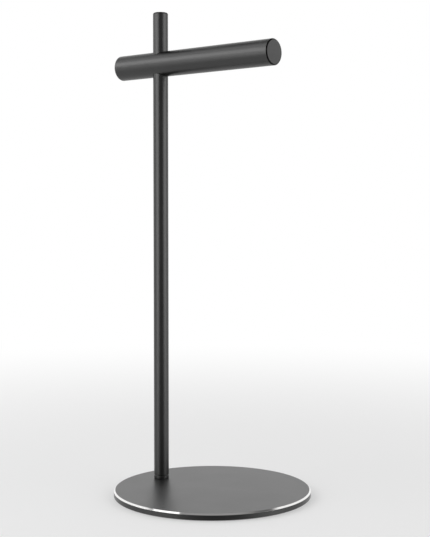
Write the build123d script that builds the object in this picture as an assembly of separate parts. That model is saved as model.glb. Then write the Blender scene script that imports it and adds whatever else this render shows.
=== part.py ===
from build123d import *
import os

# A headphone stand. A thin round plate stands on a soft pad, a slim post rises near the plate's
# edge, and a round crossbar sits on the post. The crossbar's long arm reaches back over the plate
# and carries the headband, its short end overhangs the plate, and a finial closes the post above it.
#
# Millimetres, +Z up. The origin is the centre of the base on the surface it rests on, and +X runs
# along the long arm.

# Base plate, with a pocket below for the ballast and the pad
base_diameter = 110.0
plate_thickness = 3.6
rim_chamfer = 0.8
rim_width = 3.5
boss_diameter = 14.0

# What lies in the pocket, from the bottom up
pad_thickness = 1.0
pad_proud = 0.4
ballast_thickness = 1.5
tape_thickness = 0.15
pocket_side_gap = 0.15

# Post
post_diameter = 8.6
post_wall = 1.0
post_offset = 38.0
foot_flange_height = 2.0
head_flange_height = 1.0
spigot_length = 16.0
bond_gap = 0.03

# Crossbar and finial; the reaches are measured from the post's axis
bar_diameter = 14.2
bar_long_reach = 80.0
bar_short_reach = 30.0
bar_end_chamfer = 0.5
bar_axis_above_plate = 238.5
bar_seat_depth = 4.0
finial_above_bar = 22.0
seat_gap = 0.05

# Base screw, countersunk with a hexagon socket
screw_diameter = 5.0
screw_head_diameter = 9.6
screw_head_recess = 0.1
screw_engagement = 11.0
screw_socket_width = 3.0
screw_socket_depth = 1.6

# Stud that draws the finial and the post together through the bar
stud_diameter = 4.0
stud_engagement = 9.0
stud_socket_width = 2.0
stud_socket_depth = 2.0

# Holes and edges
hole_gap = 0.2
thread_gap = 0.03
tap_runout = 1.5
edge_break = 0.3
finial_top_chamfer = 0.5

# Levels, from the surface upward
plate_bottom = pad_proud
plate_top = plate_bottom + plate_thickness
ballast_bottom = pad_thickness
tape_bottom = ballast_bottom + ballast_thickness
pocket_top = tape_bottom + tape_thickness
screw_head_bottom = plate_bottom + screw_head_recess
tube_bottom = plate_top + foot_flange_height
screw_top = tube_bottom + screw_engagement
bar_axis = plate_top + bar_axis_above_plate
web_half = bar_diameter / 2 - bar_seat_depth
post_end = bar_axis - web_half
finial_start = bar_axis + web_half
tube_top = post_end - head_flange_height
finial_top = bar_axis + bar_diameter / 2 + finial_above_bar

# Shared radii
post_radius = post_diameter / 2
spigot_radius = post_radius - post_wall - bond_gap
pocket_radius = base_diameter / 2 - rim_width
screw_radius = screw_diameter / 2
screw_head_radius = screw_head_diameter / 2
stud_radius = stud_diameter / 2


def rod(radius, low, high):
    """A cylinder on the Z axis between two levels."""
    on_its_foot = (Align.CENTER, Align.CENTER, Align.MIN)
    return Pos(0, 0, low) * Cylinder(radius, high - low, align=on_its_foot)


def on_post(shape):
    """The same shape on the post's axis."""
    return Pos(-post_offset, 0, 0) * shape


def break_top(shape, size):
    """Chamfers the outer edge of the highest face."""
    rim = shape.edges().group_by(Axis.Z)[-1].sort_by(SortBy.LENGTH)[-1]
    return chamfer(rim, size)


def break_bottom(shape, size):
    """Chamfers the outer edge of the lowest face."""
    rim = shape.edges().group_by(Axis.Z)[0].sort_by(SortBy.LENGTH)[-1]
    return chamfer(rim, size)


def hexagon(width, low, high):
    """A hexagon socket's space, measured across its flats, between two levels."""
    outline = RegularPolygon(width / 2, 6, major_radius=False)
    return extrude(Pos(0, 0, low) * outline, high - low)


def countersink(shank_radius):
    """The 90 degree cone under the base screw's head, down to a shank of this radius."""
    height = screw_head_radius - shank_radius
    on_its_foot = (Align.CENTER, Align.CENTER, Align.MIN)
    cone = Cone(screw_head_radius, shank_radius, height, align=on_its_foot)
    return Pos(0, 0, screw_head_bottom) * cone


def pocket_layer(low, high):
    """A disc that fills the pocket between two levels, open round the boss."""
    disc = rod(pocket_radius - pocket_side_gap, low, high)
    around_boss = rod(boss_diameter / 2 + pocket_side_gap, low, high)
    return disc - on_post(around_boss)


def base_plate():
    """The plate: bright chamfer on top, pocket and screw boss underneath."""
    plate = rod(base_diameter / 2, plate_bottom, plate_top)
    plate = break_top(plate, rim_chamfer)
    plate = break_bottom(plate, edge_break)
    pocket = rod(pocket_radius, plate_bottom, pocket_top)
    boss = on_post(rod(boss_diameter / 2, plate_bottom, pocket_top))
    hole_radius = screw_radius + hole_gap
    hole = rod(hole_radius, plate_bottom, plate_top)
    head_room = rod(screw_head_radius + hole_gap, plate_bottom, screw_head_bottom)
    screw_space = on_post(hole + head_room + countersink(hole_radius))
    return plate - (pocket - boss) - screw_space


def anti_slip_pad():
    """The soft pad that the stand rests on."""
    return pocket_layer(0, pad_thickness)


def ballast_plate():
    """The steel disc that keeps the stand upright."""
    return pocket_layer(ballast_bottom, tape_bottom)


def ballast_tape():
    """The adhesive that holds the ballast in the pocket."""
    return pocket_layer(tape_bottom, pocket_top)


def base_screw():
    """The countersunk screw through the plate into the post's foot."""
    screw = break_top(rod(screw_radius, screw_head_bottom, screw_top), edge_break)
    screw += countersink(screw_radius)
    socket_top = screw_head_bottom + screw_socket_depth
    return on_post(screw - hexagon(screw_socket_width, screw_head_bottom, socket_top))


def foot_insert():
    """The tapped plug in the post's lower end; its flange shows as a ring on the plate."""
    flange = rod(post_radius, plate_top, tube_bottom)
    flange = break_top(break_bottom(flange, edge_break), edge_break)
    spigot = break_top(rod(spigot_radius, plate_top, tube_bottom + spigot_length), edge_break)
    tapped = rod(screw_radius + thread_gap, plate_top, screw_top + tap_runout)
    return on_post(flange + spigot - tapped)


def post_tube():
    """The slim tube between the two inserts."""
    tube = break_bottom(rod(post_radius, tube_bottom, tube_top), edge_break)
    return on_post(tube - rod(post_radius - post_wall, tube_bottom, tube_top))


def head_insert():
    """The tapped plug in the post's upper end, hidden in the bar's lower seat."""
    flange = rod(post_radius, tube_top, post_end)
    spigot = break_bottom(rod(spigot_radius, tube_top - spigot_length, post_end), edge_break)
    tapped_bottom = post_end - stud_engagement - tap_runout
    tapped = rod(stud_radius + thread_gap, tapped_bottom, post_end)
    return on_post(flange + spigot - tapped)


def joining_stud():
    """The headless screw through the bar, with a socket in its upper end."""
    low = post_end - stud_engagement
    high = finial_start + stud_engagement
    stud = break_bottom(break_top(rod(stud_radius, low, high), edge_break), edge_break)
    return on_post(stud - hexagon(stud_socket_width, high - stud_socket_depth, high))


def crossbar():
    """The round bar, with a seat for the post below, one for the finial above, and the stud hole."""
    length = bar_short_reach + bar_long_reach
    bar = rod(bar_diameter / 2, -bar_short_reach, bar_long_reach)
    bar = chamfer(bar.edges().filter_by(GeomType.CIRCLE), bar_end_chamfer)
    bar = Pos(0, 0, bar_axis) * Rot(0, 90, 0) * bar
    seat_radius = post_radius + seat_gap
    lower_seat = rod(seat_radius, bar_axis - length, post_end)
    upper_seat = rod(seat_radius, finial_start, bar_axis + length)
    stud_hole = rod(stud_radius + hole_gap, post_end, finial_start)
    return on_post(bar - lower_seat - upper_seat - stud_hole)


def finial():
    """The pin that stands above the bar and hides the end of the stud."""
    pin = break_top(rod(post_radius, finial_start, finial_top), finial_top_chamfer)
    tapped_top = finial_start + stud_engagement + tap_runout
    return on_post(pin - rod(stud_radius + thread_gap, finial_start, tapped_top))


sub_parts = {
    "base_plate": base_plate,
    "anti_slip_pad": anti_slip_pad,
    "ballast_plate": ballast_plate,
    "ballast_tape": ballast_tape,
    "base_screw": base_screw,
    "foot_insert": foot_insert,
    "post_tube": post_tube,
    "head_insert": head_insert,
    "joining_stud": joining_stud,
    "crossbar": crossbar,
    "finial": finial,
}

os.makedirs("parts", exist_ok=True)
for name, make in sub_parts.items():
    export_step(make(), f"parts/{name}.step")
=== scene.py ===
import math

import bmesh
import bpy
from mathutils import Matrix, Vector

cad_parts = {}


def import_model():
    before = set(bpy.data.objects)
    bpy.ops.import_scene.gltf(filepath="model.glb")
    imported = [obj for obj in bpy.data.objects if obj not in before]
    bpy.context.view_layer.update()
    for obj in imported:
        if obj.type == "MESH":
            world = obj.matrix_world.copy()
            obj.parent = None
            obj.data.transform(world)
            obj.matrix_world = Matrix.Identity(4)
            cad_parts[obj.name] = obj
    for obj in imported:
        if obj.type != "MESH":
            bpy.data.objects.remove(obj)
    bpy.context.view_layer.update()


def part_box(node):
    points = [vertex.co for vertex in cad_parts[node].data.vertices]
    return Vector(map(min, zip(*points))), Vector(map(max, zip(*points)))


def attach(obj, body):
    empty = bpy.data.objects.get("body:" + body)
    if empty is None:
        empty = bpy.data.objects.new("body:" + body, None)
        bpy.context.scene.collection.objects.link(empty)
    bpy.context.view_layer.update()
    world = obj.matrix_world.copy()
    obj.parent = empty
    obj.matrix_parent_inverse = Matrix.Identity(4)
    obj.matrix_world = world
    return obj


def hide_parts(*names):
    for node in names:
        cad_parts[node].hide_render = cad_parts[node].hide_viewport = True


# A headphone stand in satin black-grey anodised aluminium with a bright-cut rim. Metres, +Z up.
# Every piece is a fine mesh on the CAD part's own sizes, with softened edges and real joint lines.

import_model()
MM = 0.001
UP = Vector((0, 0, 1))
ALONG = Vector((1, 0, 0))


# ---------------------------------------------------------------- sizes, read from the frame

def z_range(node):
    """The lowest and highest level of a CAD node."""
    low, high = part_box(node)
    return low.z, high.z


post_low, post_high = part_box("post_tube")
POST_X = (post_low.x + post_high.x) / 2
POST_RADIUS = (post_high.x - post_low.x) / 2
TUBE_BOTTOM, TUBE_TOP = z_range("post_tube")

BASE_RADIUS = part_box("base_plate")[1].x
PLATE_BOTTOM, PLATE_TOP = z_range("base_plate")
PAD_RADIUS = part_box("anti_slip_pad")[1].x
POCKET_TOP = z_range("ballast_tape")[1]
SCREW_BOTTOM, SCREW_TOP = z_range("base_screw")
SCREW_HEAD_RADIUS = (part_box("base_screw")[1].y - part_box("base_screw")[0].y) / 2
INSERT_TOP = z_range("foot_insert")[1]
HEAD_BOTTOM, HEAD_TOP = z_range("head_insert")
STUD_BOTTOM, STUD_TOP = z_range("joining_stud")

BAR_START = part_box("crossbar")[0].x
BAR_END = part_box("crossbar")[1].x
BAR_BOTTOM, BAR_TOP = z_range("crossbar")
BAR_RADIUS = (BAR_TOP - BAR_BOTTOM) / 2
BAR_AXIS = (BAR_TOP + BAR_BOTTOM) / 2
FINIAL_BOTTOM, FINIAL_TOP = z_range("finial")

# Sizes that the frame's boxes don't give, the same as in the CAD part
RIM_CHAMFER = 0.8 * MM
EDGE_BREAK = 0.3 * MM
BAR_CHAMFER = 0.5 * MM
FINIAL_CHAMFER = 0.5 * MM
TUBE_WALL = 1.0 * MM
BOND_GAP = 0.03 * MM
POCKET_SIDE_GAP = 0.15 * MM
BOSS_RADIUS = 7.0 * MM
SCREW_RADIUS = 2.5 * MM
SCREW_SOCKET_WIDTH = 3.0 * MM
SCREW_SOCKET_DEPTH = 1.6 * MM
STUD_RADIUS = 2.0 * MM
HOLE_GAP = 0.2 * MM
THREAD_GAP = 0.03 * MM
STUD_SOCKET_WIDTH = 2.0 * MM
STUD_SOCKET_DEPTH = 2.0 * MM
TAP_RUNOUT = 1.5 * MM
SEAT_GAP = 0.05 * MM

# Painted shade: the dark line round the edge of an end face is painted this far past the chamfer
SHADE_BAND_WIDTH = 0.3 * MM
BAND_RADIUS = BAR_RADIUS - BAR_CHAMFER - SHADE_BAND_WIDTH

# Small roundings that only the looks need
CRISP = 0.04 * MM
SOFT = 0.1 * MM
MOUTH_ROUNDING = 0.12 * MM

# How finely the meshes are divided
ARC_STEPS = 4
BASE_SEGMENTS = 360
POST_SEGMENTS = 128
SCREW_SEGMENTS = 96
TOP_RINGS = 16
LAYER_RINGS = 8

# A point beside a rounded corner holds the flat next to it, this share of the radius away
HOLD = 0.4

# Edges sharper than this break the smooth shading, in degrees
SHARP_ANGLE = 30

# Edges are rubbed lighter where the mesh turns by more than the first, fully from the second
WEAR_FROM = 6
WEAR_FULL = 9

# How far a cutter stands out of the piece that it cuts
OVERSHOOT = 1 * MM


# ---------------------------------------------------------------- mesh helpers

def rounded(profile, radii):
    """The profile with each corner replaced by an arc. A radius of 0 keeps the corner.

    A point close beside each end of an arc keeps the flats next to it flat in the shading.
    """
    points = []
    last = len(profile) - 1
    for i, (corner, radius) in enumerate(zip(profile, radii)):
        if radius == 0 or i in (0, last):
            points.append(tuple(corner))
            continue
        here = Vector(corner)
        back = (Vector(profile[i - 1]) - here).normalized()
        ahead = (Vector(profile[i + 1]) - here).normalized()
        half = back.angle(ahead) / 2
        reach = radius / math.tan(half)
        hold = reach + HOLD * radius
        centre = here + (back + ahead).normalized() * (radius / math.sin(half))
        start = here + back * reach - centre
        turn = start.angle_signed(here + ahead * reach - centre)
        points.append(tuple(here + back * hold))
        for k in range(ARC_STEPS + 1):
            arm = start.copy()
            arm.rotate(Matrix.Rotation(-turn * k / ARC_STEPS, 2))
            points.append(tuple(centre + arm))
        points.append(tuple(here + ahead * hold))
    return points


def shade(mesh, sharp_angle):
    """Smooth shading that breaks at edges sharper than the angle."""
    mesh.shade_smooth()
    mesh.set_sharp_from_angle(angle=math.radians(sharp_angle))


def wear(vertex):
    """How much a vertex is rubbed, from 0 to 1, by the sharpest turn of the mesh at it."""
    bend = max((edge.calc_face_angle(0) for edge in vertex.link_edges), default=0)
    return min(max((math.degrees(bend) - WEAR_FROM) / (WEAR_FULL - WEAR_FROM), 0), 1)


def mesh_object(name, vertices, faces, sharp_angle=SHARP_ANGLE):
    """A piece with smooth shading and with its wear stored on its mesh."""
    mesh = bpy.data.meshes.new(name)
    mesh.from_pydata(vertices, [], faces)
    work = bmesh.new()
    work.from_mesh(mesh)
    bmesh.ops.remove_doubles(work, verts=work.verts, dist=1e-7)
    bmesh.ops.recalc_face_normals(work, faces=work.faces)
    turned = work.verts.layers.float.new("turned")
    for vertex in work.verts:
        vertex[turned] = wear(vertex)
    work.to_mesh(mesh)
    work.free()
    shade(mesh, sharp_angle)
    piece = bpy.data.objects.new(name, mesh)
    bpy.context.scene.collection.objects.link(piece)
    return piece


def on_axis(x, profile):
    """Rings of (centre, radius, level) from a profile of (radius, level)."""
    return [(x, radius, level) for radius, level in profile]


def spread(first, last, count):
    """The rings between two rings, without the two themselves."""
    start, end = Vector(first), Vector(last)
    return [tuple(start.lerp(end, k / count)) for k in range(1, count)]


def skin(name, rings, segments, closed=False, sharp_angle=SHARP_ANGLE):
    """Joins round rings of (centre, radius, level), one after the other, into a piece.

    A ring of radius 0 is a point. A closed skin also joins its last ring to its first.
    """
    vertices = []
    loops = []
    for centre, radius, level in rings:
        if radius == 0:
            loops.append([len(vertices)] * segments)
            vertices.append((centre, 0.0, level))
            continue
        loops.append(range(len(vertices), len(vertices) + segments))
        for k in range(segments):
            angle = 2 * math.pi * k / segments
            x = centre + radius * math.cos(angle)
            vertices.append((x, radius * math.sin(angle), level))
    pairs = list(zip(loops, loops[1:]))
    if closed:
        pairs.append((loops[-1], loops[0]))
    faces = []
    for low, high in pairs:
        for k in range(segments):
            n = (k + 1) % segments
            corners = tuple(dict.fromkeys((low[k], low[n], high[n], high[k])))
            if len(corners) > 2:
                faces.append(corners)
    return mesh_object(name, vertices, faces, sharp_angle)


def hexagon_socket(name, width, low, high):
    """A hexagon's space on the post's axis, used as a cutter."""
    corner = width / math.sqrt(3)
    profile = [(0, low), (corner, low), (corner, high), (0, high)]
    return skin(name, on_axis(POST_X, profile), 6)


def cut(piece, cutter):
    """Takes the cutter out of the piece and removes the cutter."""
    modifier = piece.modifiers.new("cut", "BOOLEAN")
    modifier.operation = "DIFFERENCE"
    modifier.solver = "EXACT"
    modifier.object = cutter
    with bpy.context.temp_override(object=piece, active_object=piece):
        bpy.ops.object.modifier_apply(modifier=modifier.name)
    bpy.data.objects.remove(cutter)
    shade(piece.data, SHARP_ANGLE)


def dress(piece, material):
    """Gives the piece one material, in place of any it had."""
    piece.data.materials.clear()
    piece.data.materials.append(material)


def dress_edge(piece, material, end, outward, depth, reach):
    """Gives a material to the edge round an end face.

    The edge is what lies below the end within a depth, and beyond a reach from the axis.
    """
    slots = piece.data.materials
    if slots.find(material.name) < 0:
        slots.append(material)
    index = slots.find(material.name)
    for face in piece.data.polygons:
        arm = face.center - end
        inward = -arm.dot(outward)
        across = (arm + outward * inward).length
        if 0 <= inward < depth and across > reach:
            face.material_index = index


def place(piece, slot, *nodes):
    """The piece stands for these CAD nodes and rides on the one rigid body."""
    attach(piece, "root")
    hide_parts(*nodes)


# ---------------------------------------------------------------- node helpers

class NodeKit:
    """Builds the nodes of one material or world with short calls."""

    def __init__(self, owner):
        owner.use_nodes = True
        self.nodes = owner.node_tree.nodes
        self.links = owner.node_tree.links
        self.nodes.clear()

    def feed(self, socket, value):
        """Links a socket to another one, or gives it a constant."""
        if isinstance(value, bpy.types.NodeSocket):
            self.links.new(value, socket)
        else:
            socket.default_value = value

    def math(self, operation, *values):
        """One maths node on sockets or numbers."""
        node = self.nodes.new("ShaderNodeMath")
        node.operation = operation
        for socket, value in zip(node.inputs, values):
            self.feed(socket, value)
        return node.outputs[0]

    def vector_math(self, operation, *values):
        """One vector maths node whose result is a number."""
        node = self.nodes.new("ShaderNodeVectorMath")
        node.operation = operation
        for socket, value in zip(node.inputs, values):
            self.feed(socket, value)
        return node.outputs["Value"]

    def between(self, value, low, high, own_range=(0.3, 0.7), shape="LINEAR"):
        """The value spread from its own range, a noise's unless given, to another."""
        node = self.nodes.new("ShaderNodeMapRange")
        node.interpolation_type = shape
        self.feed(node.inputs["Value"], value)
        self.feed(node.inputs["From Min"], own_range[0])
        self.feed(node.inputs["From Max"], own_range[1])
        self.feed(node.inputs["To Min"], low)
        self.feed(node.inputs["To Max"], high)
        return node.outputs["Result"]

    def step(self, value, edges, before, after):
        """A smooth step between two numbers, as the value goes from one edge to the other."""
        return self.between(value, before, after, edges, "SMOOTHSTEP")

    def mix(self, factor, first, second):
        """Mixes two shaders."""
        node = self.nodes.new("ShaderNodeMixShader")
        for socket, value in zip(node.inputs, (factor, first, second)):
            self.feed(socket, value)
        return node.outputs[0]


class Shader(NodeKit):
    """One node material round a Principled shader."""

    def __init__(self, name):
        self.material = bpy.data.materials.new(name)
        super().__init__(self.material)
        self.output = self.nodes.new("ShaderNodeOutputMaterial")
        self.surface = self.nodes.new("ShaderNodeBsdfPrincipled")
        self.links.new(self.surface.outputs["BSDF"], self.output.inputs["Surface"])
        self.object_space = self.nodes.new("ShaderNodeTexCoord").outputs["Object"]

    def set(self, **values):
        """Gives the shader's own inputs constants or sockets."""
        for name, value in values.items():
            self.feed(self.surface.inputs[name.replace("_", " ")], value)

    def lathe_space(self):
        """Coordinates that change only with the distance from the Z axis and with height."""
        split = self.nodes.new("ShaderNodeSeparateXYZ")
        self.feed(split.inputs[0], self.object_space)
        x, y, z = split.outputs
        squares = self.math("ADD", self.math("MULTIPLY", x, x), self.math("MULTIPLY", y, y))
        join = self.nodes.new("ShaderNodeCombineXYZ")
        self.feed(join.inputs["X"], self.math("SQRT", squares))
        self.feed(join.inputs["Y"], z)
        return join.outputs[0]

    def noise(self, space, scale, detail, roughness):
        """A noise texture's value."""
        node = self.nodes.new("ShaderNodeTexNoise")
        self.feed(node.inputs["Vector"], space)
        self.feed(node.inputs["Scale"], scale)
        self.feed(node.inputs["Detail"], detail)
        self.feed(node.inputs["Roughness"], roughness)
        return node.outputs["Fac"]

    def tint(self, value, first, second):
        """A colour between two colours, by the value. The first may be a socket."""
        node = self.nodes.new("ShaderNodeMix")
        node.data_type = "RGBA"
        self.feed(node.inputs["Factor"], value)
        self.feed(node.inputs["A"], first)
        self.feed(node.inputs["B"], second)
        return node.outputs["Result"]

    def attribute(self, name):
        """A value stored on the mesh."""
        node = self.nodes.new("ShaderNodeAttribute")
        node.attribute_name = name
        return node.outputs["Fac"]

    def bump(self, height, distance):
        """Raises the surface by the height times the distance."""
        node = self.nodes.new("ShaderNodeBump")
        self.feed(node.inputs["Distance"], distance)
        self.feed(node.inputs["Height"], height)
        self.feed(self.surface.inputs["Normal"], node.outputs["Normal"])


# ---------------------------------------------------------------- materials

# Features to a metre in each texture
BLASTED_GRAIN = 3800
BLASTED_PATCHES = 45
TURNING_LINES = 26000
CUT_CLOUDS = 90

# A blasted surface varies by the grain for this share, and by the patches for the rest
GRAIN_SHARE = 0.6

# How far its tone strays to either side, and how many times lighter a rubbed edge is
TONE_SPREAD = 0.12
RUBBED = 2.2


def grey(value, warmth=0.0):
    """A neutral colour, a little warm or cool."""
    return (value * (1 + warmth), value, value * (1 - warmth), 1)


def blasted_anodised(name, colour, smooth, rough, dent):
    """Fine bead-blasted aluminium, anodised black-grey. The dents' depth is in millimetres.

    A dense grain of small dents, soft uneven patches, and edges rubbed a little lighter.
    """
    shader = Shader(name)
    shader.set(Metallic=0.98, IOR=1.6)
    grains = shader.noise(shader.object_space, BLASTED_GRAIN, 2, 0.6)
    patches = shader.noise(shader.object_space, BLASTED_PATCHES, 3, 0.55)
    fine = shader.math("MULTIPLY", grains, GRAIN_SHARE)
    speckle = shader.math("ADD", fine, shader.math("MULTIPLY", patches, 1 - GRAIN_SHARE))
    dark, light = grey(colour * (1 - TONE_SPREAD)), grey(colour * (1 + TONE_SPREAD))
    body = shader.tint(shader.between(speckle, 0, 1), dark, light)
    worn = shader.math("MULTIPLY", shader.attribute("turned"), shader.between(patches, 0.15, 0.55))
    shader.set(Base_Color=shader.tint(worn, body, grey(colour * RUBBED)))
    shader.set(Roughness=shader.between(speckle, smooth, rough))
    shader.bump(grains, dent * MM)
    return shader.material


def bright_cut(name):
    """Bare aluminium cut by a diamond tool: nearly a mirror, with fine turning lines."""
    shader = Shader(name)
    shader.set(Metallic=1.0, IOR=1.45)
    lines = shader.noise(shader.lathe_space(), TURNING_LINES, 2, 0.6)
    cloud = shader.noise(shader.object_space, CUT_CLOUDS, 2, 0.5)
    shader.set(Base_Color=shader.tint(cloud, grey(0.84, 0.006), grey(0.92, 0.006)))
    shader.set(Roughness=shader.between(lines, 0.06, 0.12))
    shader.bump(lines, 0.001 * MM)
    return shader.material


def plain(name, dark, light, metallic, smooth, rough, grain, dent):
    """A simple finish with grain, for the hidden pieces. The dents' depth is in millimetres."""
    shader = Shader(name)
    shader.set(Metallic=metallic)
    grains = shader.noise(shader.object_space, grain, 3, 0.6)
    shader.set(Base_Color=shader.tint(shader.between(grains, 0, 1), dark, light))
    shader.set(Roughness=shader.between(grains, smooth, rough))
    shader.bump(grains, dent * MM)
    return shader.material


PLATE_FINISH = blasted_anodised("plate_anodised", 0.125, smooth=0.34, rough=0.44, dent=0.030)
# The plate's side wall: the plate's finish coloured darker, painted shade on the side of the one
# plate
WALL_PAINTED_SHADE = blasted_anodised("plate_wall_painted_shade", 0.072, smooth=0.30, rough=0.40, dent=0.024)
POST_FINISH = blasted_anodised("post_anodised", 0.066, smooth=0.28, rough=0.38, dent=0.024)
BAR_FINISH = blasted_anodised("bar_anodised", 0.070, smooth=0.29, rough=0.39, dent=0.024)
# Coloured near black: painted shade on the bar's end chamfers and the finial's top, where they
# reflect dark surroundings
CHAMFER_PAINTED_SHADE = blasted_anodised("chamfer_painted_shade", 0.014, smooth=0.20, rough=0.28, dent=0.008)
RIM_FINISH = bright_cut("rim_bright_cut")
RUBBER = plain(
    "pad_rubber", grey(0.018), grey(0.03),
    metallic=0.0, smooth=0.7, rough=0.9, grain=2600, dent=0.03,
)
ZINC = plain(
    "ballast_zinc", grey(0.5), grey(0.62),
    metallic=1.0, smooth=0.3, rough=0.5, grain=700, dent=0.004,
)
TAPE = plain(
    "tape_adhesive", (0.62, 0.6, 0.52, 1), (0.72, 0.7, 0.62, 1),
    metallic=0.0, smooth=0.35, rough=0.55, grain=900, dent=0.01,
)
BLACK_OXIDE = plain(
    "screw_black_oxide", grey(0.03), grey(0.05),
    metallic=0.9, smooth=0.3, rough=0.45, grain=3000, dent=0.004,
)


# ---------------------------------------------------------------- base

def base_plate():
    """The disc with its bright chamfer, the pocket and the screw boss underneath."""
    pocket_radius = PAD_RADIUS + POCKET_SIDE_GAP
    outside = [
        (pocket_radius, PLATE_BOTTOM),
        (BASE_RADIUS - EDGE_BREAK, PLATE_BOTTOM),
        (BASE_RADIUS, PLATE_BOTTOM + EDGE_BREAK),
        (BASE_RADIUS, PLATE_TOP - RIM_CHAMFER),
        (BASE_RADIUS - RIM_CHAMFER, PLATE_TOP),
        (BASE_RADIUS - 2 * RIM_CHAMFER, PLATE_TOP),
    ]
    hole_radius = SCREW_RADIUS + HOLE_GAP
    head_room = SCREW_HEAD_RADIUS + HOLE_GAP
    screw_space = [
        (hole_radius + SOFT, PLATE_TOP),
        (hole_radius, PLATE_TOP),
        (hole_radius, SCREW_BOTTOM + SCREW_HEAD_RADIUS - hole_radius),
        (SCREW_HEAD_RADIUS, SCREW_BOTTOM),
        (head_room, SCREW_BOTTOM),
        (head_room, PLATE_BOTTOM),
        (BOSS_RADIUS, PLATE_BOTTOM),
        (BOSS_RADIUS, POCKET_TOP),
    ]
    rim = on_axis(0, rounded(outside, [0, SOFT, SOFT, CRISP, CRISP, 0]))
    hole = on_axis(POST_X, screw_space)
    ceiling = (0, pocket_radius, POCKET_TOP)
    rings = rim + spread(rim[-1], hole[0], TOP_RINGS) + hole
    rings += spread(hole[-1], ceiling, LAYER_RINGS) + [ceiling]
    piece = skin("base_plate_fine", rings, BASE_SEGMENTS, closed=True, sharp_angle=25)
    dress(piece, PLATE_FINISH)
    top = Vector((0, 0, PLATE_TOP))
    dress_edge(piece, RIM_FINISH, top, UP, RIM_CHAMFER, BASE_RADIUS - RIM_CHAMFER)
    # The side wall gets painted shade, a darker copy of the plate's finish
    wall_top = top - UP * RIM_CHAMFER
    thickness = PLATE_TOP - PLATE_BOTTOM
    dress_edge(piece, WALL_PAINTED_SHADE, wall_top, UP, thickness, BASE_RADIUS - EDGE_BREAK)
    place(piece, "plate_metal", "base_plate")


def pocket_layer(node, material, slot, edge):
    """A disc in the pocket, open round the boss, with its lower outer edge rounded."""
    low, high = z_range(node)
    outside = [
        (0, low),
        (PAD_RADIUS, low),
        (PAD_RADIUS, high),
    ]
    disc = on_axis(0, rounded(outside, [0, edge, 0]))[1:]
    round_boss = BOSS_RADIUS + POCKET_SIDE_GAP
    top = (POST_X, round_boss, high)
    bottom = (POST_X, round_boss, low)
    rings = disc + spread(disc[-1], top, LAYER_RINGS)
    rings += [top, bottom] + spread(bottom, disc[0], LAYER_RINGS)
    piece = skin(node + "_fine", rings, BASE_SEGMENTS, closed=True)
    dress(piece, material)
    place(piece, slot, node)


def base_screw():
    """The countersunk screw, with a hexagon socket and softened edges."""
    neck = SCREW_BOTTOM + SCREW_HEAD_RADIUS - SCREW_RADIUS
    outline = [
        (0, SCREW_BOTTOM),
        (SCREW_HEAD_RADIUS, SCREW_BOTTOM),
        (SCREW_RADIUS, neck),
        (SCREW_RADIUS, SCREW_TOP - EDGE_BREAK),
        (SCREW_RADIUS - EDGE_BREAK, SCREW_TOP),
        (0, SCREW_TOP),
    ]
    profile = rounded(outline, [0, CRISP, SOFT, CRISP, CRISP, 0])
    piece = skin("base_screw_fine", on_axis(POST_X, profile), SCREW_SEGMENTS)
    socket_top = SCREW_BOTTOM + SCREW_SOCKET_DEPTH
    cut(piece, hexagon_socket("socket", SCREW_SOCKET_WIDTH, SCREW_BOTTOM - OVERSHOOT, socket_top))
    dress(piece, BLACK_OXIDE)
    place(piece, "screw_steel", "base_screw")


# ---------------------------------------------------------------- post and finial

def turned_piece(node, outline, radii, slot):
    """A piece in the post's finish, turned about its axis, with softened corners."""
    piece = skin(node + "_fine", on_axis(POST_X, rounded(outline, radii)), POST_SEGMENTS)
    dress(piece, POST_FINISH)
    place(piece, slot, node)
    return piece


def foot_insert():
    """The plug in the post's foot: its flange is the ring that shows on the plate."""
    bore = SCREW_RADIUS + THREAD_GAP
    spigot = POST_RADIUS - TUBE_WALL - BOND_GAP
    outline = [
        (0, SCREW_TOP + TAP_RUNOUT),
        (bore, SCREW_TOP + TAP_RUNOUT),
        (bore, PLATE_TOP),
        (POST_RADIUS - EDGE_BREAK, PLATE_TOP),
        (POST_RADIUS, PLATE_TOP + EDGE_BREAK),
        (POST_RADIUS, TUBE_BOTTOM - EDGE_BREAK),
        (POST_RADIUS - EDGE_BREAK, TUBE_BOTTOM),
        (spigot, TUBE_BOTTOM),
        (spigot, INSERT_TOP - EDGE_BREAK),
        (spigot - EDGE_BREAK, INSERT_TOP),
        (0, INSERT_TOP),
    ]
    radii = [0, 0, 0, CRISP, SOFT, SOFT, CRISP, 0, CRISP, CRISP, 0]
    turned_piece("foot_insert", outline, radii, "insert_metal")


def post_tube():
    """The slim tube, chamfered where it meets the foot ring."""
    bore = POST_RADIUS - TUBE_WALL
    outline = [
        (bore, TUBE_BOTTOM),
        (POST_RADIUS - EDGE_BREAK, TUBE_BOTTOM),
        (POST_RADIUS, TUBE_BOTTOM + EDGE_BREAK),
        (POST_RADIUS, TUBE_TOP),
        (bore, TUBE_TOP),
    ]
    rings = on_axis(POST_X, rounded(outline, [0, CRISP, SOFT, CRISP, 0]))
    piece = skin("post_tube_fine", rings, POST_SEGMENTS, closed=True)
    dress(piece, POST_FINISH)
    place(piece, "post_metal", "post_tube")


def head_insert():
    """The plug in the post's upper end, hidden in the bar's lower seat."""
    bore = STUD_RADIUS + THREAD_GAP
    spigot = POST_RADIUS - TUBE_WALL - BOND_GAP
    outline = [
        (0, HEAD_BOTTOM),
        (spigot - EDGE_BREAK, HEAD_BOTTOM),
        (spigot, HEAD_BOTTOM + EDGE_BREAK),
        (spigot, TUBE_TOP),
        (POST_RADIUS, TUBE_TOP),
        (POST_RADIUS, HEAD_TOP),
        (bore, HEAD_TOP),
        (bore, STUD_BOTTOM - TAP_RUNOUT),
        (0, STUD_BOTTOM - TAP_RUNOUT),
    ]
    radii = [0, CRISP, CRISP, 0, CRISP, CRISP, 0, 0, 0]
    turned_piece("head_insert", outline, radii, "insert_metal")


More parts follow.
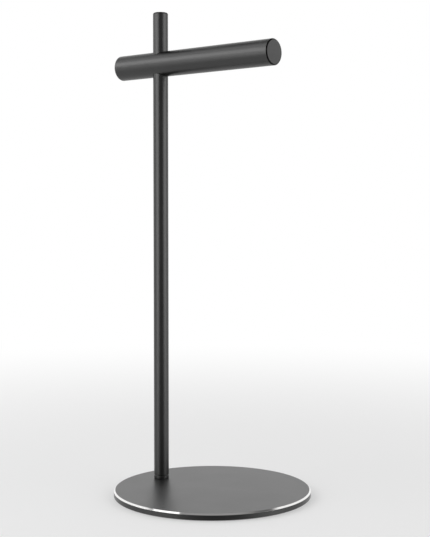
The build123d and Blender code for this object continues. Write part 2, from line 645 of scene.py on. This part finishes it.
def joining_stud():
    """The headless screw through the bar, with a hexagon socket in its upper end."""
    outline = [
        (0, STUD_BOTTOM),
        (STUD_RADIUS - EDGE_BREAK, STUD_BOTTOM),
        (STUD_RADIUS, STUD_BOTTOM + EDGE_BREAK),
        (STUD_RADIUS, STUD_TOP - EDGE_BREAK),
        (STUD_RADIUS - EDGE_BREAK, STUD_TOP),
        (0, STUD_TOP),
    ]
    profile = rounded(outline, [0, CRISP, CRISP, CRISP, CRISP, 0])
    piece = skin("joining_stud_fine", on_axis(POST_X, profile), SCREW_SEGMENTS)
    socket_bottom = STUD_TOP - STUD_SOCKET_DEPTH
    cut(piece, hexagon_socket("socket", STUD_SOCKET_WIDTH, socket_bottom, STUD_TOP + OVERSHOOT))
    dress(piece, BLACK_OXIDE)
    place(piece, "screw_steel", "joining_stud")


def finial():
    """The pin above the bar, with a chamfered top and the stud's tapped hole below."""
    bore = STUD_RADIUS + THREAD_GAP
    outline = [
        (0, STUD_TOP + TAP_RUNOUT),
        (bore, STUD_TOP + TAP_RUNOUT),
        (bore, FINIAL_BOTTOM),
        (POST_RADIUS, FINIAL_BOTTOM),
        (POST_RADIUS, FINIAL_TOP - FINIAL_CHAMFER - SHADE_BAND_WIDTH),
        (POST_RADIUS, FINIAL_TOP - FINIAL_CHAMFER),
        (POST_RADIUS - FINIAL_CHAMFER, FINIAL_TOP),
        (0, FINIAL_TOP),
    ]
    radii = [0, 0, 0, CRISP, 0, SOFT, SOFT, 0]
    piece = turned_piece("finial", outline, radii, "finial_metal")
    # The top chamfer and a thin band below it get painted shade, a near-black copy of the finish
    top = Vector((POST_X, 0, FINIAL_TOP))
    depth = FINIAL_CHAMFER + SHADE_BAND_WIDTH
    dress_edge(piece, CHAMFER_PAINTED_SHADE, top, UP, depth, POST_RADIUS - FINIAL_CHAMFER)


# ---------------------------------------------------------------- crossbar

# The patch of the bar's skin that surrounds each seat
PATCH_HALF_WIDTH = 6.6 * MM
PATCH_HALF_TURN = math.radians(60)
SEAT_RADIUS = POST_RADIUS + SEAT_GAP
MOUTH_RADIUS = SEAT_RADIUS + MOUTH_ROUNDING

# How strongly a patch's rings crowd towards the seat; 1 would space them evenly
PATCH_CROWDING = 1.5

# How finely the bar is divided
PATCH_COLUMNS = 36
PATCH_ROWS = 36
PATCH_RINGS = 10
MOUTH_STEPS = 3
SIDE_ROWS = 18
SHORT_ARM_RINGS = 14
LONG_ARM_RINGS = 40
END_FACE_RINGS = (BAND_RADIUS, BAND_RADIUS - SOFT, 0.6 * BAND_RADIUS, 0.3 * BAND_RADIUS)


class Grid:
    """Vertices and faces that are built from loops of points."""

    def __init__(self):
        self.vertices = []
        self.faces = []

    def loop(self, points):
        """Adds the points and returns their numbers."""
        first = len(self.vertices)
        self.vertices.extend(points)
        return range(first, len(self.vertices))

    def strip(self, loop, other, closed=True):
        """Quads between two loops, point for point."""
        for i in range(len(loop) if closed else len(loop) - 1):
            n = (i + 1) % len(loop)
            self.faces.append((loop[i], loop[n], other[n], other[i]))

    def strips(self, loops, closed=True):
        """Quads between each loop and the next. Returns the last loop."""
        for loop, other in zip(loops, loops[1:]):
            self.strip(loop, other, closed)
        return loops[-1]

    def fan(self, loop, tip):
        """Triangles between a loop and one point."""
        middle = self.loop([tip])[0]
        for i in range(len(loop)):
            self.faces.append((loop[i], loop[(i + 1) % len(loop)], middle))


def spaced(low, high, count):
    """Evenly spaced numbers from low to high, both included."""
    return [low + (high - low) * i / count for i in range(count + 1)]


def bar_point(x, around, radius=BAR_RADIUS):
    """A point on the bar, by its place along it and the angle from straight up."""
    return (x, radius * math.sin(around), BAR_AXIS + radius * math.cos(around))


def patch_border():
    """The patch's border: places along the bar from the post, and angles from straight up."""
    along = spaced(-PATCH_HALF_WIDTH, PATCH_HALF_WIDTH, PATCH_COLUMNS)
    around = spaced(-PATCH_HALF_TURN, PATCH_HALF_TURN, PATCH_ROWS)
    border = [(x, around[0]) for x in along[:-1]]
    border += [(along[-1], turn) for turn in around[:-1]]
    border += [(x, around[-1]) for x in along[:0:-1]]
    border += [(along[0], turn) for turn in around[:0:-1]]
    return border


def seat_patch(grid, side):
    """The bar's skin round one seat, with the seat's softened mouth, wall and floor.

    side is 1 for the upper seat and -1 for the lower one. The rest of the bar's skin meets the
    patch point for point. Returns the loop round the stud hole in the seat's floor.
    """
    border = patch_border()
    directions = [Vector((x, turn * BAR_RADIUS)).normalized() for x, turn in border]
    loops = []

    def add_loop(points):
        """Adds a loop of points, each from the post's and the bar's axes towards this seat."""
        loops.append(grid.loop([(POST_X + x, y, BAR_AXIS + side * up) for x, y, up in points]))

    for k in range(PATCH_RINGS, -1, -1):
        share = (k / PATCH_RINGS) ** PATCH_CROWDING
        points = []
        for (x, turn), direction in zip(border, directions):
            mouth_x = direction.x * MOUTH_RADIUS
            mouth_turn = math.asin(direction.y * MOUTH_RADIUS / BAR_RADIUS)
            along = mouth_x + (x - mouth_x) * share
            around = mouth_turn + (turn - mouth_turn) * share
            points.append((along, BAR_RADIUS * math.sin(around), BAR_RADIUS * math.cos(around)))
        add_loop(points)

    for turn in spaced(0, math.pi / 2, MOUTH_STEPS)[1:]:
        radius = SEAT_RADIUS + MOUTH_ROUNDING * (1 - math.sin(turn))
        drop = MOUTH_ROUNDING * (1 - math.cos(turn))
        points = []
        for direction in directions:
            up = math.sqrt(BAR_RADIUS**2 - (direction.y * MOUTH_RADIUS) ** 2) - drop
            points.append((direction.x * radius, direction.y * radius, up))
        add_loop(points)

    seat_floor = FINIAL_BOTTOM - BAR_AXIS if side > 0 else BAR_AXIS - HEAD_TOP
    for radius in (SEAT_RADIUS, STUD_RADIUS + HOLE_GAP):
        add_loop([
            (direction.x * radius, direction.y * radius, seat_floor)
            for direction in directions
        ])
    return grid.strips(loops)


def bar_arm(grid, turns, inner, outer, count):
    """The bar's skin from one place to an end, with the end's softened chamfer and its face."""
    way = 1 if outer > inner else -1
    corner = [
        (BAR_RADIUS, inner),
        (BAR_RADIUS, outer - way * BAR_CHAMFER),
        (BAR_RADIUS - BAR_CHAMFER, outer),
        (0.0, outer),
    ]
    edge = rounded(corner, [0, SOFT, SOFT, 0])
    rings = [(BAR_RADIUS, x) for x in spaced(inner, edge[1][1], count)]
    rings += edge[2:-1]
    rings += [(radius, outer) for radius in END_FACE_RINGS]
    loops = []
    for radius, x in rings:
        loops.append(grid.loop([bar_point(x, turn, radius) for turn in turns]))
    grid.fan(grid.strips(loops), (outer, 0.0, BAR_AXIS))


def crossbar():
    """The bar: a fine skin with two seats let into it, a stud hole between them, chamfered ends."""
    grid = Grid()
    grid.strip(seat_patch(grid, 1), seat_patch(grid, -1))

    patch_start = POST_X - PATCH_HALF_WIDTH
    patch_end = POST_X + PATCH_HALF_WIDTH
    # Round the bar from straight up: a patch's rows, then the plain side down to the other patch
    turns = []
    for middle in (0, math.pi):
        patch = spaced(middle - PATCH_HALF_TURN, middle + PATCH_HALF_TURN, PATCH_ROWS)
        panel = spaced(patch[-1], middle + math.pi - PATCH_HALF_TURN, SIDE_ROWS)
        loops = []
        for x in spaced(patch_start, patch_end, PATCH_COLUMNS):
            loops.append(grid.loop([bar_point(x, turn) for turn in panel]))
        grid.strips(loops, closed=False)
        turns += patch[:-1] + panel[:-1]

    bar_arm(grid, turns, patch_start, BAR_START, SHORT_ARM_RINGS)
    bar_arm(grid, turns, patch_end, BAR_END, LONG_ARM_RINGS)

    piece = mesh_object("crossbar_fine", grid.vertices, grid.faces, sharp_angle=28)
    dress(piece, BAR_FINISH)
    # Each end's chamfer and the outer band of its face get painted shade, a near-black copy of the
    # finish
    for x, outward in ((BAR_END, ALONG), (BAR_START, -ALONG)):
        end = Vector((x, 0, BAR_AXIS))
        dress_edge(piece, CHAMFER_PAINTED_SHADE, end, outward, BAR_CHAMFER, BAND_RADIUS)
    place(piece, "bar_metal", "crossbar")


base_plate()
pocket_layer("anti_slip_pad", RUBBER, "pad_rubber", 0.2 * MM)
pocket_layer("ballast_plate", ZINC, "ballast_steel", SOFT)
pocket_layer("ballast_tape", TAPE, "tape", CRISP)
base_screw()
foot_insert()
post_tube()
head_insert()
joining_stud()
finial()
crossbar()


# ---------------------------------------------------------------- floor, light and camera

VIEW_TURN = math.radians(37.6)      # from the long arm's square view towards its tip
VIEW_DISTANCE = 0.640               # from the post, along the view
VIEW_SIDE = 0.0445                  # how far the camera stands to the right of the post
VIEW_HEIGHT = 0.1567
VIEW_YAW = math.radians(1.2)        # to the left, onto the stand
VIEW_PITCH = math.radians(2.76)     # downward
LENS = 74.6

# How bright the surroundings are, when the white background behind the stand is 1
NEAR_SIDE = 0.28
OVERHEAD = 0.12
ZENITH = 0.31
BELOW = 0.8

# Where each of them begins or ends, by how far a direction points to the camera or upward
NEAR_EDGES = (0.1, 0.95)
OVERHEAD_EDGES = (0.70, 0.78)
ZENITH_EDGES = (0.82, 0.95)
BELOW_EDGES = (-0.30, 0.02)

LIGHT_TARGET = Vector((0, 0, 0.13))
LIGHT_DISTANCE = 1.3

# The floor is lit paper mixed with plain white: this share of white within the first radius,
# all white beyond the second
FLOOR_WHITE = 0.40
FLOOR_FADE = (0.08, 0.75)
FLOOR_RADIUS = 6.0
FLOOR_LEVEL = -0.02 * MM
FLOOR_SEGMENTS = 128

to_right = Vector((math.cos(VIEW_TURN), math.sin(VIEW_TURN), 0))
forward = Vector((-math.sin(VIEW_TURN), math.cos(VIEW_TURN), 0))
post_foot = Vector((POST_X, 0, 0))


def camera():
    """The camera, at eye level between the bar and the base."""
    data = bpy.data.cameras.new("camera")
    data.lens = LENS
    data.sensor_width = 36
    data.clip_start = 0.01
    data.clip_end = 50
    eye = bpy.data.objects.new("camera", data)
    bpy.context.scene.collection.objects.link(eye)
    eye.location = post_foot - forward * VIEW_DISTANCE + to_right * VIEW_SIDE + UP * VIEW_HEIGHT
    level = forward * math.cos(VIEW_YAW) - to_right * math.sin(VIEW_YAW)
    aim = level * math.cos(VIEW_PITCH) - UP * math.sin(VIEW_PITCH)
    eye.rotation_euler = aim.to_track_quat("-Z", "Y").to_euler()
    bpy.context.scene.camera = eye


def from_view(azimuth, elevation):
    """A direction seen from the stand. Azimuth 0 is the camera's side and 90 its right."""
    a, e = math.radians(azimuth), math.radians(elevation)
    level = to_right * math.sin(a) - forward * math.cos(a)
    return level * math.cos(e) + UP * math.sin(e)


def softbox(name, azimuth, elevation, width, height, radiance):
    """A soft area light aimed at the stand."""
    data = bpy.data.lights.new(name, "AREA")
    data.shape = "RECTANGLE"
    data.size = width
    data.size_y = height
    data.energy = radiance * math.pi * width * height
    light = bpy.data.objects.new(name, data)
    bpy.context.scene.collection.objects.link(light)
    away = from_view(azimuth, elevation)
    light.location = LIGHT_TARGET + away * LIGHT_DISTANCE
    light.rotation_euler = (-away).to_track_quat("-Z", "Y").to_euler()
    light.visible_camera = False


def background(kit, strength):
    """A white background of this strength, a number or a socket."""
    node = kit.nodes.new("ShaderNodeBackground")
    kit.feed(node.inputs["Color"], (1, 1, 1, 1))
    kit.feed(node.inputs["Strength"], strength)
    return node.outputs[0]


def world():
    """A white studio: bright behind the stand, dimmer overhead and on the camera's side."""
    studio = bpy.data.worlds.new("studio")
    kit = NodeKit(studio)
    direction = kit.nodes.new("ShaderNodeTexCoord").outputs["Generated"]
    height = kit.vector_math("DOT_PRODUCT", direction, UP)
    nearness = kit.vector_math("DOT_PRODUCT", direction, -forward)
    near = kit.step(nearness, NEAR_EDGES, 1.0, NEAR_SIDE)
    overhead = kit.step(height, OVERHEAD_EDGES, 1.0, OVERHEAD)
    zenith = kit.step(height, ZENITH_EDGES, 1.0, ZENITH / OVERHEAD)
    below = kit.step(height, BELOW_EDGES, BELOW, 1.0)
    above = kit.math("MULTIPLY", overhead, zenith)
    strength = kit.math("MULTIPLY", kit.math("MULTIPLY", near, above), below)
    path = kit.nodes.new("ShaderNodeLightPath")
    seen = kit.mix(path.outputs["Is Camera Ray"], background(kit, strength), background(kit, 1.0))
    output = kit.nodes.new("ShaderNodeOutputWorld")
    kit.feed(output.inputs["Surface"], seen)
    bpy.context.scene.world = studio


def floor_material():
    """Pale matt paper that brightens into the white of the background, and is clear from below."""
    shader = Shader("floor_pale")
    shader.set(Roughness=0.7, Base_Color=grey(0.86))
    reach = shader.vector_math("LENGTH", shader.object_space)
    far = shader.step(reach, FLOOR_FADE, FLOOR_WHITE, 1.0)
    white = shader.nodes.new("ShaderNodeEmission").outputs[0]
    clear = shader.nodes.new("ShaderNodeBsdfTransparent").outputs[0]
    below = shader.nodes.new("ShaderNodeNewGeometry").outputs["Backfacing"]
    paper = shader.mix(far, shader.surface.outputs[0], white)
    shader.feed(shader.output.inputs["Surface"], shader.mix(below, paper, clear))
    return shader.material


def floor():
    """The plain pale floor, a hair below the stand."""
    piece = skin("floor", [(0, 0, FLOOR_LEVEL), (0, FLOOR_RADIUS, FLOOR_LEVEL)], FLOOR_SEGMENTS)
    if piece.data.polygons[0].normal.z < 0:
        piece.data.flip_normals()
    dress(piece, floor_material())
    piece.visible_glossy = False


camera()
world()
floor()
softbox("left_softbox", azimuth=-50, elevation=6, width=1.0, height=0.9, radiance=2.1)
softbox("high_softbox", azimuth=-86, elevation=27, width=0.8, height=0.5, radiance=2.2)
softbox("rim_softbox", azimuth=-90, elevation=55, width=0.6, height=0.42, radiance=1.2)
softbox("right_softbox", azimuth=68, elevation=6, width=1.2, height=0.9, radiance=1.7)
bpy.context.scene.view_settings.view_transform = "Standard"
